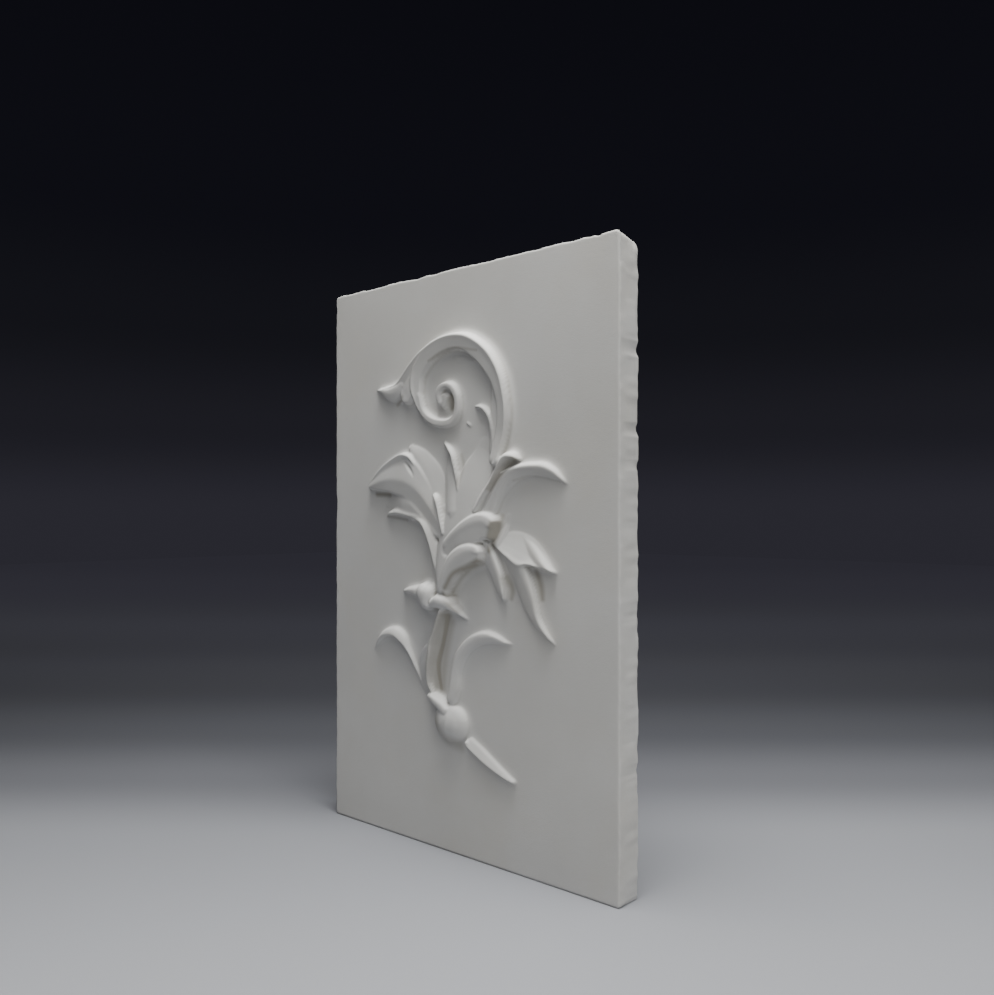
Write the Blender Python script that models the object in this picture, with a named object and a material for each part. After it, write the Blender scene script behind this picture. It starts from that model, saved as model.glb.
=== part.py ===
"""Cast plaster relief panel: a plain slab with an acanthus scroll, leaves and curls standing out on its front.

The slab stands on its underside. X runs to the right as seen from the carved front, Y runs from the front
to the plain back and Z is up. The origin is the middle of the underside, halfway through the thickness.
"""
import bmesh
import bpy
import numpy as np

# The slab
PANEL_WIDTH = 0.400
PANEL_HEIGHT = 0.600
PANEL_THICKNESS = 0.030
ARRIS = 0.0015                  # rounding of the slab's long edges
CORNER_RADIUS = 0.004           # rounding of the corners
CHIPPED_CORNER_RADIUS = 0.015   # the broken corner at the top right of the back
EDGE_WANDER = 0.0010            # how far the worn edges wander inwards
EDGE_STEP = 0.010               # spacing of the points along an edge

# The ornament, which is drawn in template units and then set to these sizes
ORNAMENT_HEIGHT = 0.455
ORNAMENT_FOOT = 0.080           # height of its lowest tip above the underside
RELIEF_HEIGHT = 0.0170          # how far its highest form stands out

# The sculptor's template: one unit is a millimetre at the sizes above
TEMPLATE_HEIGHT = 455.0
TEMPLATE_HALF_WIDTH = 150.0
TEMPLATE_MARGIN = 10.0          # plain ground kept above and below the ornament
WALL_RUN = 1.6                  # how far a form's edge takes to rise
SOFTNESS = 0.9                  # rounding of the carved edges
FOOT_SPREAD = 3.0               # reach of the soft fillet at a form's foot
FOOT_SHARE = 0.55
FINE_STEP = 1.6                 # grid that the carving is worked out on
FACE_BUDGET = 8400              # triangles left in the carved field

SHARP_ANGLE = np.radians(40)
PLASTER_COLOUR = (0.64, 0.635, 0.615, 1.0)

# Cross-sections: pairs of place across a form, from -1 at its left edge to 1 at its right, and share of height
ROUND = ((-1, 0.25), (-0.75, 0.66), (-0.4, 0.93), (0, 1), (0.4, 0.93), (0.75, 0.66), (1, 0.25))
SOFT = ((-1, 0.6), (-0.6, 0.88), (0, 1), (0.6, 0.88), (1, 0.6))
PLATE = ((-1, 0.85), (-0.7, 0.97), (0, 1), (0.7, 0.97), (1, 0.85))
RIM = ((-1, 0.7), (-0.5, 0.77), (0, 0.85), (0.4, 0.94), (0.66, 1), (0.86, 0.84), (1, 0.4))
UPPER_EDGE = ((-1, 0.3), (-0.75, 0.65), (-0.45, 0.96), (-0.2, 1), (0.4, 0.7), (1, 0.34))
LOWER_CREST = ((-1, 0.8), (-0.6, 1), (-0.2, 0.96), (0.4, 0.74), (1, 0.36))
HIGH_RIGHT = ((-1, 0.5), (-0.5, 0.75), (0, 0.9), (0.6, 1), (1, 0.95))
FACE = ((-1, 0.62), (-0.82, 0.9), (-0.55, 1), (0.2, 0.95), (1, 0.86))
FLAT = ((-1, 0.35), (-0.6, 0.78), (0, 1), (0.6, 1), (1, 0.8))
TERRACE = ((-1, 1), (0.6, 1), (1, 0.7))
TURNED = ((-1, 0.04), (-0.5, 0.3), (0, 0.58), (0.5, 0.82), (0.85, 1), (1, 0.92))
RAMP = ((-1, 0.2), (-0.5, 0.45), (0, 0.66), (0.5, 0.88), (0.85, 1), (1, 0.9))
TAIL = ((-1, 0.85), (-0.6, 1), (0, 0.85), (0.5, 0.6), (1, 0.15))
UNDER = ((-1, 0.9), (-0.5, 1), (0.2, 0.8), (1, 0.4))
CURL = ((-1, 0.45), (-0.65, 0.88), (-0.35, 1), (0.3, 0.88), (1, 0.55))
EDGE = ((-1, 0.45), (-0.5, 0.85), (-0.1, 1), (1, 0.98))
SOFT_RIGHT = ((-1, 0.5), (-0.4, 0.9), (0.2, 1), (0.7, 0.85), (1, 0.45))
LAYER = ((-1, 0.4), (-0.4, 0.85), (0.2, 1), (1, 0.9))
BULB = ((-1, 0.2), (-0.6, 0.62), (-0.25, 0.9), (0, 1), (0.25, 0.92), (0.6, 0.5), (1, 0.12))
BALL = ((-1, 0.45), (-0.6, 0.84), (0, 1), (0.6, 0.84), (1, 0.45))
HOLLOW = ((-1, 0.64), (-0.7, 0.72), (-0.3, 0.86), (0, 0.97), (0.25, 0.92), (0.6, 0.86), (1, 0.8))
LIP = ((-1, 0.8), (-0.5, 0.9), (0, 1), (0.5, 0.92), (1, 0.5))
GROOVE = ((-1, 1), (1, 1))

# Each form: its name, whether it melts into what it crosses, its cross-section, and stations along its middle
# from root to tip, as (across, up from the ornament's foot, width to the left, width to the right, height)
FORMS = (
    ("leaf web", True, TERRACE, (
        (-20, 255, 14, 18, 7.5), (-50, 274, 15, 20, 7.5), (-75, 281, 13, 18, 7), (-92, 281, 10, 13, 5.5),
        (-106, 279, 8, 9, 3), (-114, 277, 4, 4, 1))),
    ("scroll terrace", True, TERRACE, (
        (2, 426.5, 8, 7, 2.5), (18, 425.5, 10, 7, 2.8), (34, 421, 10, 6.5, 3), (46, 411, 10, 7, 3.5),
        (54, 396, 10, 8, 4), (56, 378, 10, 9, 4.5), (55, 360, 10, 9, 4.5), (54, 344, 9, 8, 4.5))),
    ("scroll lower lobe", True, PLATE, (
        (-34, 428, 8, 8, 8.8), (-48, 420, 13, 11, 8.8), (-60, 408, 14, 11, 8.8), (-67, 398.5, 13, 12, 8.6),
        (-71, 394.5, 11, 11, 8.2))),
    ("scroll band", True, RIM, (
        (58, 321, 9, 8, 13.5), (61, 333, 9, 8, 11.5), (64.5, 346, 9, 8.5, 10.5), (66.5, 360, 9, 9, 11),
        (66.5, 373, 9, 9, 11.5), (64.5, 386, 9.5, 9, 12), (60.5, 399, 10.5, 9.5, 12),
        (54, 411, 12, 10, 12), (44, 423, 12.5, 10.5, 12), (31, 432.5, 11.5, 11, 12), (16, 439, 9, 12, 12),
        (0, 441.5, 8, 12, 12), (-16, 440, 8, 12, 12), (-31, 435, 9, 12, 12), (-44, 427, 10, 9, 11.5),
        (-53, 416, 9.5, 9, 11), (-56.5, 403, 10, 8, 10.5), (-55.5, 391, 9, 5.5, 10),
        (-51, 380, 7.5, 5, 9))),
    ("scroll neck", True, RIM, (
        (10, 439.5, 7, 10, 8), (-4, 441, 7, 11, 10), (-16, 440, 8, 12, 11.6), (-31, 435.5, 8, 11.8, 12),
        (-45, 429.5, 7.5, 11, 11.8), (-57, 422.5, 7, 10, 11.2), (-67, 415.5, 7, 9, 10.6),
        (-76, 409.5, 6, 7.5, 10), (-86, 406, 5, 5, 9.2), (-98, 405, 4, 3.5, 8), (-110, 405, 3, 2.5, 6.5))),
    ("scroll head", True, SOFT_RIGHT, (
        (-78, 406, 6, 5, 9), (-86, 401, 10, 8, 9.4), (-95, 398.5, 10, 8.5, 9), (-104, 399.5, 8, 7, 8),
        (-114, 402.5, 4, 4.5, 6.5), (-125, 404.5, 1.2, 1.2, 3))),
    ("head valley", False, GROOVE, (
        (-93, 386.5, 1.2, 1.2, 3), (-85, 387, 1.8, 1.8, 4), (-77.5, 391, 1.8, 1.8, 5),
        (-73.5, 398, 1.2, 1.2, 7))),
    ("scroll eye", True, PLATE, (
        (-52.5, 391, 6, 6, 8.5), (-49, 379, 5.5, 5.5, 8), (-41, 370.5, 4.5, 6.5, 7.4),
        (-30, 365, 4.5, 7, 7), (-17.5, 362.5, 4.5, 7, 6.8), (-6.5, 363.5, 4.5, 7, 6.8),
        (0.8, 369, 4.5, 6.5, 7), (3.2, 378, 4.5, 6, 7.2), (1.8, 388, 4.5, 6, 7.6),
        (-4, 396.5, 4.5, 6, 8.4), (-12, 400, 4.5, 5, 9), (-19.5, 397.5, 5, 5, 9), (-23, 390.5, 5, 5, 8.5),
        (-21.5, 383.5, 5, 5, 7.5))),
    ("scroll knob", True, PLATE, (
        (-15.5, 386, 7.5, 7.5, 6), (-16.5, 382, 7, 7, 5.5))),
    ("scroll hole", False, GROOVE, (
        (-6.8, 391.5, 2.4, 2.4, 1.2), (-7, 384, 3, 3, 0.8), (-8.5, 376.5, 2.6, 2.6, 1))),
    ("knob fold", True, ROUND, (
        (-18, 397, 2.2, 2.2, 9), (-12, 393.5, 2.6, 2.6, 8.8), (-7.5, 390, 2.2, 2.2, 8))),
    ("knob groove", False, GROOVE, (
        (-14, 398.6, 1, 1, 7.4), (-8.5, 395.6, 1.2, 1.2, 5.6), (-4.5, 391.5, 1, 1, 5))),
    ("sprig b", True, SOFT, (
        (18, 357, 1.6, 1.6, 2), (13.5, 360, 1.6, 1.6, 3))),
    ("sprig a", True, HIGH_RIGHT, (
        (51, 330, 6, 6, 6), (50.5, 344, 5, 5, 6), (48.5, 357, 4.5, 4.5, 6.5), (43, 368, 3.5, 4.5, 7.2),
        (35, 373.8, 2.8, 3.5, 7), (25.5, 375.3, 1.5, 1.5, 5))),
    ("right leaf root", True, PLATE, (
        (44, 260, 12, 10, 7.5), (53, 280, 13, 9, 7.5), (64, 298, 11, 8, 7.8), (74, 307, 7, 6, 8))),
    ("right leaf", True, UPPER_EDGE, (
        (40, 260, 9, 10, 9), (47, 272, 9, 10, 9), (57, 288, 8, 10, 9), (68, 300.5, 8, 10.5, 9),
        (80, 308, 8, 10, 9), (92, 310.5, 7.5, 8.5, 9), (104, 311, 7.5, 7.5, 8.8), (116, 310, 7.5, 8, 8),
        (127, 306, 6, 6.5, 6.5), (135, 301, 3.5, 4, 4.5), (142, 295.5, 1, 1, 2))),
    ("under leaf", True, UNDER, (
        (43, 234, 9, 9, 8), (49, 222, 10, 10, 8), (56.5, 209, 9.5, 9.5, 8), (61, 198, 8, 8.5, 8),
        (64, 190, 6, 6.5, 7.5), (65, 187, 5, 5, 7))),
    ("turned leaf tail", True, TAIL, (
        (74, 232, 12, 12, 10), (83, 217, 13, 13, 10), (90, 203, 13, 12.5, 9), (96, 190, 12, 12.5, 8),
        (101, 178, 10, 10.5, 7), (107, 167, 7, 7.5, 7), (115.5, 157, 4.5, 4.5, 6),
        (127, 146, 1.2, 1.2, 3))),
    ("turned leaf", False, TURNED, (
        (52, 242, 4, 5, 9), (64, 240, 12, 10, 10), (78, 236, 17, 12.5, 11), (92, 231, 18, 14.5, 11.5),
        (104, 226, 15.5, 9, 11), (116, 220.5, 9.5, 6, 10), (129, 213, 1.5, 1.5, 8))),
    ("turned leaf edge", True, EDGE, (
        (80, 247, 4.5, 6, 1.2), (90, 243, 5, 9, 2.6), (100, 236, 6, 11, 5), (108, 229, 6, 9, 6.8),
        (116, 222, 5, 6, 8.2), (127, 214, 2, 2, 8))),
    ("left lobe upper", True, SOFT_RIGHT, (
        (-16, 264, 13, 12, 10), (-29, 286, 14, 13, 9.8), (-41, 307, 15, 13, 9.2), (-51, 322, 15, 12, 8.2),
        (-60, 332, 11, 9, 6.6), (-68, 338.5, 5.5, 5, 5))),
    ("left lobe lower", True, LOWER_CREST, (
        (-50, 267, 6, 7, 8.5), (-65, 268.5, 6, 6, 8.5), (-78, 270, 5, 6, 8), (-90, 270.5, 4.5, 5, 7.5),
        (-100, 269, 3.5, 3.5, 6.5), (-108, 265.5, 1.2, 1.2, 4))),
    ("left lobe main", False, HOLLOW, (
        (-13, 252, 12, 8, 11.5), (-32, 274, 16, 11, 11.5), (-52, 293, 18, 18, 11.2),
        (-70, 302, 18, 26, 11), (-88, 305, 17, 23.5, 10.5), (-105, 304.5, 14, 18, 10),
        (-120, 301.5, 9.5, 12, 9), (-132.5, 297.5, 3.5, 5, 7.5))),
    ("left lobe rim", True, LIP, (
        (-57, 317, 2, 2, 8), (-60.5, 323, 3, 3, 9.4), (-66, 328.3, 4, 3.5, 10.2),
        (-73.5, 331, 5, 3.5, 10.6), (-81.5, 330.8, 6, 3.2, 10.4), (-92.5, 327, 6, 3, 10),
        (-106.5, 320.5, 6, 3, 9.4), (-120.5, 311, 4, 3, 8.6), (-133, 301.5, 2, 2, 7))),
    ("left lobe fold", False, GROOVE, (
        (-76, 325, 1.2, 1.2, 8.5), (-70, 321, 2, 2, 6.5), (-64, 315.5, 2, 2, 6.5),
        (-58, 308, 1.2, 1.2, 8))),
    ("middle lobe", True, LAYER, (
        (-2, 270, 12, 12, 11), (-5, 292, 11, 12, 9.5), (-7, 310, 10, 12, 8), (-7, 323, 8, 10, 6.5),
        (-9, 333, 5, 6, 4.5))),
    ("calyx left rim", True, LOWER_CREST, (
        (-22, 210, 5, 7, 10), (-27, 226, 5, 8, 11), (-32, 240, 5, 8, 11.5), (-38, 252, 5, 8, 11.8),
        (-46, 260.5, 4.5, 6.5, 11), (-55, 263, 3.5, 5, 9.5), (-63, 262.5, 2.5, 3, 7.5),
        (-69, 261.5, 1.2, 1.2, 5.5))),
    ("tall sprig", True, HIGH_RIGHT, (
        (6, 292, 4, 3, 11), (4, 304, 4, 3.5, 11), (2, 316, 3.5, 4, 11), (-2, 327.5, 3, 4, 10.5),
        (-9, 336, 2.5, 3, 9.5), (-18.5, 342, 1.5, 1.5, 7))),
    ("calyx trunk", True, FLAT, (
        (-15, 186, 11, 11, 13), (-14, 205, 14, 15, 13.5), (-10, 222, 18, 17, 13), (-3, 240, 22, 21, 12.5),
        (5, 258, 25, 25, 11.5), (13, 276, 25, 27, 10), (21, 294, 23, 27, 8), (28, 312, 20, 25, 5.5),
        (34, 327, 15, 18, 2.8), (38, 339, 10, 10, 0.8))),
    ("pointed tip", True, ROUND, (
        (-12, 248, 3, 4, 12.8), (-16, 262, 3, 4, 13.2), (-19, 274, 3, 3.5, 13.5),
        (-22, 283, 3.5, 3.2, 13.5), (-26, 287.5, 3, 2.5, 12.5), (-29, 288, 1.5, 1.5, 11))),
    ("tip slot", False, GROOVE, (
        (-12, 263, 1, 1, 8.5), (-13.5, 270, 1.6, 1.6, 5), (-14.5, 277, 1, 1, 8.5))),
    ("calyx tip", True, HIGH_RIGHT, (
        (32, 272, 6, 4, 12.5), (44, 288, 6, 4, 13), (54, 300, 6, 4, 13.2), (61.5, 311, 6, 4, 13.6),
        (67, 319.5, 5.5, 4.5, 14), (73, 324.3, 5, 4.5, 14.2), (80, 324, 4, 4, 13), (86, 320.5, 2, 2, 10))),
    ("upper mid lobe", False, FACE, (
        (-3, 237, 9, 13, 13.5), (9, 244.5, 10.5, 15, 15), (22, 251, 12.5, 17, 15.6),
        (34, 255, 14, 17, 15.8), (43, 256.5, 14.5, 16, 15.6), (48, 256, 14, 15, 15.4))),
    ("lower mid lobe", False, FACE, (
        (-10, 192, 8, 7, 14.5), (-1, 204, 13, 8, 15.6), (9, 215, 17, 9, 16.4), (20, 223, 16, 10, 17),
        (28, 227, 13.5, 10.5, 17), (34, 228, 12, 11, 16.6))),
    ("left curl", True, LOWER_CREST, (
        (-53, 92, 2, 2, 4), (-58, 102, 2.3, 2.6, 5.5), (-64, 113, 2.6, 3, 7), (-71, 124, 3.4, 4, 8),
        (-79, 133.5, 5.5, 7, 9), (-89, 139.5, 6.5, 7, 9), (-100, 139.8, 6, 6, 8), (-110, 137, 4.7, 5, 7),
        (-118, 131.5, 3.8, 4, 6), (-124, 125.5, 2.5, 2.5, 4.5), (-130, 119, 1, 1, 2.5))),
    ("right curl", True, CURL, (
        (-6, 80, 7, 9, 8), (-2, 92, 8, 9, 7.5), (0, 106, 8, 8.5, 7), (4, 118, 8.5, 8, 7),
        (11, 128.5, 9, 7.5, 7), (21, 137, 9, 7, 6.5), (33, 143, 8.5, 7, 6.5), (45, 145.5, 7.5, 7, 6.5),
        (56, 145, 5.5, 5.5, 5.5), (66, 143, 3, 3.5, 4), (74, 141.5, 1, 1, 2))),
    ("stem fold", True, ROUND, (
        (-55.5, 110, 1.5, 1.5, 5), (-50.5, 119, 2.6, 2.6, 8), (-44.5, 128, 2.6, 2.6, 9),
        (-40.5, 133, 1.5, 1.5, 9))),
    ("sheath", True, HIGH_RIGHT, (
        (-34, 80, 7, 3, 9), (-41, 92, 9, 5.5, 10), (-42.5, 108, 10, 9.5, 11), (-38, 123, 8, 8, 12.5),
        (-33, 137, 5.5, 5, 14), (-27, 149, 5, 4.5, 15), (-21, 162, 5, 5, 16), (-16, 174, 6, 6, 16))),
    ("bud", True, BULB, (
        (-12, 56, 22, 21, 12), (-4, 54, 24, 23, 13.5), (4, 53, 23, 22, 13.5), (9, 53, 20, 19, 12.5))),
    ("cup lip", True, SOFT, (
        (-36, 78.5, 4.5, 4.5, 9), (-28, 76.5, 6, 6.5, 11.5), (-19, 72.5, 7, 7, 12.5), (-11, 67, 7, 7, 12))),
    ("end stalk", False, RAMP, (
        (20, 37.5, 6.5, 7, 7), (32, 31, 6.8, 7, 7), (45, 24, 6.2, 6.5, 7), (58, 17.5, 5, 5.5, 6.5),
        (69, 12.5, 4, 4.4, 6), (77, 9.2, 3, 3, 5.2))),
    ("collar petal", True, ROUND, (
        (-40, 184, 10, 10, 12), (-54, 186, 8, 8, 10.5), (-64, 186.5, 6, 6, 9), (-73, 186, 4, 4, 7),
        (-80, 185.5, 1.8, 1.8, 4.5))),
    ("collar left bud", False, BALL, (
        (-37, 178, 12, 12, 15.5), (-39.5, 184, 14, 14, 16.5), (-42, 186, 12, 12, 16))),
    ("collar right bud", False, BALL, (
        (-26, 176, 7, 7, 15), (-17, 178.5, 9.5, 9.5, 16.8), (-8, 177, 8.5, 8.5, 15.5),
        (0, 171.5, 5.5, 5.5, 11), (7, 166.5, 3.5, 3.5, 6.5), (14, 161.5, 2, 2, 2.5))),
)

def smooth_path(stations, steps=14):
    """A smooth curve through the stations, sampled finely with its widths and heights."""
    points = np.array(stations, float)
    ends = np.vstack([2 * points[0] - points[1], points, 2 * points[-1] - points[-2]])
    t = np.linspace(0, 1, steps, endpoint=False)[:, None]
    runs = []
    for a, b, c, d in zip(ends, ends[1:], ends[2:], ends[3:]):
        bend = 2 * a - 5 * b + 4 * c - d
        twist = -a + 3 * b - 3 * c + d
        runs.append(0.5 * (2 * b + (c - a) * t + bend * t ** 2 + twist * t ** 3))
    path = np.vstack(runs + [points[-1:]])
    path[:, 2:] = np.maximum(path[:, 2:], 0.6)
    return path


def across(section, place):
    """A cross-section's share of height at each place across the form, as a smooth curve."""
    places, shares = np.array(section, float).T
    slopes = np.gradient(shares, places)
    left = np.clip(np.searchsorted(places, place) - 1, 0, len(places) - 2)
    span = places[left + 1] - places[left]
    t = np.clip((place - places[left]) / span, 0, 1)
    start = (2 * t ** 3 - 3 * t ** 2 + 1) * shares[left] + (t ** 3 - 2 * t ** 2 + t) * span * slopes[left]
    end = (3 * t ** 2 - 2 * t ** 3) * shares[left + 1] + (t ** 3 - t ** 2) * span * slopes[left + 1]
    return start + end


def carve_form(x, z, section, stations):
    """One form's height at each point, and how far each point lies inside the form's edge."""
    path = smooth_path(stations)
    steps = path[1:, :2] - path[:-1, :2]
    nearest = np.full(x.shape, np.inf)
    along = np.zeros(x.shape)
    side = np.ones(x.shape)
    for index, (step, point) in enumerate(zip(steps, path)):
        dx = x - point[0]
        dz = z - point[1]
        t = np.clip((dx * step[0] + dz * step[1]) / (step @ step + 1e-9), 0, 1)
        gap = (dx - t * step[0]) ** 2 + (dz - t * step[1]) ** 2
        closer = gap < nearest
        nearest = np.where(closer, gap, nearest)
        along = np.where(closer, index + t, along)
        side = np.where(closer, np.where(step[0] * dz - step[1] * dx > 0, -1.0, 1.0), side)
    distance = np.sqrt(nearest)
    order = np.arange(len(path))
    left, right, height = (np.interp(along, order, path[:, column]) for column in (2, 3, 4))
    reach = np.where(side < 0, left, right)
    place = np.clip(side * distance / reach, -1, 1)
    return height * across(section, place), np.clip((reach - distance) / WALL_RUN, 0, 1)


def soften(height, spread, axis_steps):
    """Blur a height map by a spread in template units, along each of its two axes."""
    for axis, step in enumerate(axis_steps):
        sigma = spread / step
        reach = int(np.ceil(3 * sigma))
        weights = np.exp(-0.5 * (np.arange(-reach, reach + 1) / sigma) ** 2)
        weights /= weights.sum()
        pad = [(reach, reach) if a == axis else (0, 0) for a in range(2)]
        padded = np.pad(height, pad, mode="edge")
        length = height.shape[axis]
        slices = [np.take(padded, range(start, start + length), axis) for start in range(2 * reach + 1)]
        height = sum(weight * part for weight, part in zip(weights, slices))
    return height


def ornament_heights(columns, rows):
    """Height of the whole ornament above the ground, in template units, on a grid of rows and columns."""
    x, z = np.meshgrid(columns, rows)
    total = np.zeros(x.shape)
    for _, joined, section, stations in FORMS:
        places = np.array(stations, float)
        reach = places[:, 2:4].max() + FOOT_SPREAD
        low = places[:, :2].min(axis=0) - reach
        high = places[:, :2].max(axis=0) + reach
        c = slice(*np.searchsorted(columns, (low[0], high[0])))
        r = slice(*np.searchsorted(rows, (low[1], high[1])))
        height, cover = carve_form(x[r, c], z[r, c], section, stations)
        under = total[r, c]
        if joined:
            total[r, c] = np.maximum(under, height * cover)
        else:
            total[r, c] = under + (height - under) * cover
    steps = (rows[1] - rows[0], columns[1] - columns[0])
    total = soften(total, SOFTNESS, steps)
    return np.maximum(total, FOOT_SHARE * soften(total, FOOT_SPREAD, steps))


def carved_field():
    """The carved part of the front, as a mesh thinned where its surface is plain. Its border lies in the ground."""
    unit = ORNAMENT_HEIGHT / TEMPLATE_HEIGHT
    rim = 4 * ARRIS + EDGE_WANDER
    half = min(TEMPLATE_HALF_WIDTH * unit, PANEL_WIDTH / 2 - rim)
    foot = max(ORNAMENT_FOOT - TEMPLATE_MARGIN * unit, rim)
    top = min(ORNAMENT_FOOT + ORNAMENT_HEIGHT + TEMPLATE_MARGIN * unit, PANEL_HEIGHT - rim)
    columns = np.linspace(-half, half, int(round(2 * half / unit / FINE_STEP)) + 1)
    rows = np.linspace(foot, top, int(round((top - foot) / unit / FINE_STEP)) + 1)
    heights = ornament_heights(columns / unit, (rows - ORNAMENT_FOOT) / unit)
    heights *= RELIEF_HEIGHT / heights.max()
    heights[[0, -1], :] = 0
    heights[:, [0, -1]] = 0

    x, z = np.meshgrid(columns, rows)
    points = np.stack([x, -PANEL_THICKNESS / 2 - heights, z], -1).reshape(-1, 3)
    number = np.arange(x.size).reshape(x.shape)
    quads = np.stack([number[:-1, :-1], number[:-1, 1:], number[1:, 1:], number[1:, :-1]], -1).reshape(-1, 4)
    fine = bpy.data.meshes.new("fine field")
    fine.from_pydata(points.tolist(), [], quads.tolist())
    field = bpy.data.objects.new("fine field", fine)
    bpy.context.scene.collection.objects.link(field)
    thin = field.modifiers.new("fewer faces", "DECIMATE")
    thin.ratio = FACE_BUDGET / (2 * len(quads))
    thinned = bpy.data.meshes.new_from_object(field.evaluated_get(bpy.context.evaluated_depsgraph_get()))
    bpy.data.objects.remove(field)
    return thinned


def wander(along, seed):
    """How far a worn edge has drawn back at a place along it, between 0 and 1."""
    return 0.5 + 0.5 * np.sin(61 * along + seed) * np.sin(143 * along + 1.7 * seed)


def slab_outline(inset, seed, broken_radius):
    """The slab's worn outline as points (x, z), starting at the bottom left and running round by the right."""
    half = PANEL_WIDTH / 2
    corners = ((-half, 0, CORNER_RADIUS), (half, 0, CORNER_RADIUS),
               (half, PANEL_HEIGHT, broken_radius), (-half, PANEL_HEIGHT, CORNER_RADIUS))
    outline = []
    for index, (x, z, radius) in enumerate(corners):
        next_x, next_z, next_radius = corners[(index + 1) % 4]
        middle = np.array([x - np.sign(x) * radius, radius if z == 0 else z - radius])
        first = np.pi * (1 + index / 2)
        for turn in np.linspace(first, first + np.pi / 2, 5):
            outline.append(middle + (radius - inset) * np.array([np.cos(turn), np.sin(turn)]))
        along = np.array([np.cos(first + np.pi / 2), np.sin(first + np.pi / 2)])
        run = np.array([-along[1], along[0]])
        length = abs(next_x - x) + abs(next_z - z) - radius - next_radius
        count = int(round((PANEL_WIDTH if index % 2 == 0 else PANEL_HEIGHT) / EDGE_STEP))
        start = middle + (radius - inset) * along
        for step in range(1, count):
            place = length * step / count
            pull = 0 if index == 0 else EDGE_WANDER * wander(place, seed + index)
            outline.append(start + run * place - along * pull)
    return np.array(outline)


def add_ring(bm, outline, depth):
    return [bm.verts.new((x, depth, z)) for x, z in outline]


def join_rings(bm, first, second):
    """Close the strip between two rings. The first ring is the one nearer the front."""
    for index in range(len(first)):
        after = (index + 1) % len(first)
        bm.faces.new((first[index], second[index], second[after], first[after]))


def build_panel():
    """The slab with its ornament: carved field, plain ground, soft arris, four narrow sides and a flat back."""
    front = -PANEL_THICKNESS / 2
    bm = bmesh.new()
    bm.from_mesh(carved_field())
    field_rim = [edge for edge in bm.edges if edge.is_boundary]
    ground = add_ring(bm, slab_outline(ARRIS, 0.0, CORNER_RADIUS), front)
    side = add_ring(bm, slab_outline(0.0, 0.0, CORNER_RADIUS), front + ARRIS)
    back = add_ring(bm, slab_outline(0.0, 2.0, CHIPPED_CORNER_RADIUS), PANEL_THICKNESS / 2)
    join_rings(bm, ground, side)
    join_rings(bm, side, back)
    bm.faces.new(back)
    ground_rim = [bm.edges.get((ground[i - 1], ground[i])) for i in range(len(ground))]
    bmesh.ops.triangle_fill(bm, use_beauty=True, use_dissolve=False, edges=field_rim + ground_rim)
    bmesh.ops.recalc_face_normals(bm, faces=bm.faces)
    mesh = bpy.data.meshes.new("relief_panel")
    bm.to_mesh(mesh)
    bm.free()
    return mesh


def plaster():
    material = bpy.data.materials.new("cast plaster")
    material.use_nodes = True
    shader = material.node_tree.nodes["Principled BSDF"]
    shader.inputs["Base Color"].default_value = PLASTER_COLOUR
    shader.inputs["Roughness"].default_value = 0.9
    shader.inputs["Metallic"].default_value = 0.0
    return material


for old in list(bpy.data.objects):
    bpy.data.objects.remove(old)

panel = bpy.data.objects.new("relief_panel", build_panel())
bpy.context.scene.collection.objects.link(panel)
panel.data.materials.append(plaster())
panel.data.shade_smooth()
panel.data.set_sharp_from_angle(angle=SHARP_ANGLE)
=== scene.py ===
import bmesh
import bpy
import numpy as np
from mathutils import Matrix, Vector


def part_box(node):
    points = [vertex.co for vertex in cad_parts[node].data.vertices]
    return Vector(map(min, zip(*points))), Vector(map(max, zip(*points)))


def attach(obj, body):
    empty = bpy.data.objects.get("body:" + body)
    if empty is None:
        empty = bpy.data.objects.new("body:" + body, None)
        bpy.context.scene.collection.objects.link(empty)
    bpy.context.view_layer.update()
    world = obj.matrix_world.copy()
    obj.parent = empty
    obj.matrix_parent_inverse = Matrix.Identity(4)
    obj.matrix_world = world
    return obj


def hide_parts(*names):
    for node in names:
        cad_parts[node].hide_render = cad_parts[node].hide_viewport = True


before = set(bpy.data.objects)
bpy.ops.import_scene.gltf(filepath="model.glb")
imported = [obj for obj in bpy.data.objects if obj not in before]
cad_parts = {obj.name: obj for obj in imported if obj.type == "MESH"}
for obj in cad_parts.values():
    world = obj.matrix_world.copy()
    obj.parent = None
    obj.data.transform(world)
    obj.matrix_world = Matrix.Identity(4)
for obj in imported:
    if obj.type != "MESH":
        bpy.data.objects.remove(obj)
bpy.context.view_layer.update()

# The relief panel
# One solid slab of casting plaster, poured face down into a mould with the ornament and screeded flat behind.
# Its arrises are soft from handling, its edges wander, and the far top corner has broken away.
low, high = (np.array(corner, float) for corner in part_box("relief_panel"))
slab_width, _, slab_height = high - low
slab_thickness = 0.030
slab_front = high[1] - slab_thickness
arris = 0.0022
corner_radius = 0.0045
broken_corner_radius = 0.017
break_growth = 1.15             # how fast the broken corner opens from the front to the back
edge_wander = 0.0013            # how far a worn edge draws back at most
wear_band = 0.007               # how far in from an edge its wear is felt
strip_ends = (0.3, 0.9)         # the thickness has three strips, and each wanders in its own way
wave_count = 9
wave_fade = 0.45                # short waves are weaker by this power of their length
wave_spread = 3.4               # brings the sum of the waves to about a half each way
last_phase = 6.3                # a wave starts anywhere in about a full turn

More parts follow.
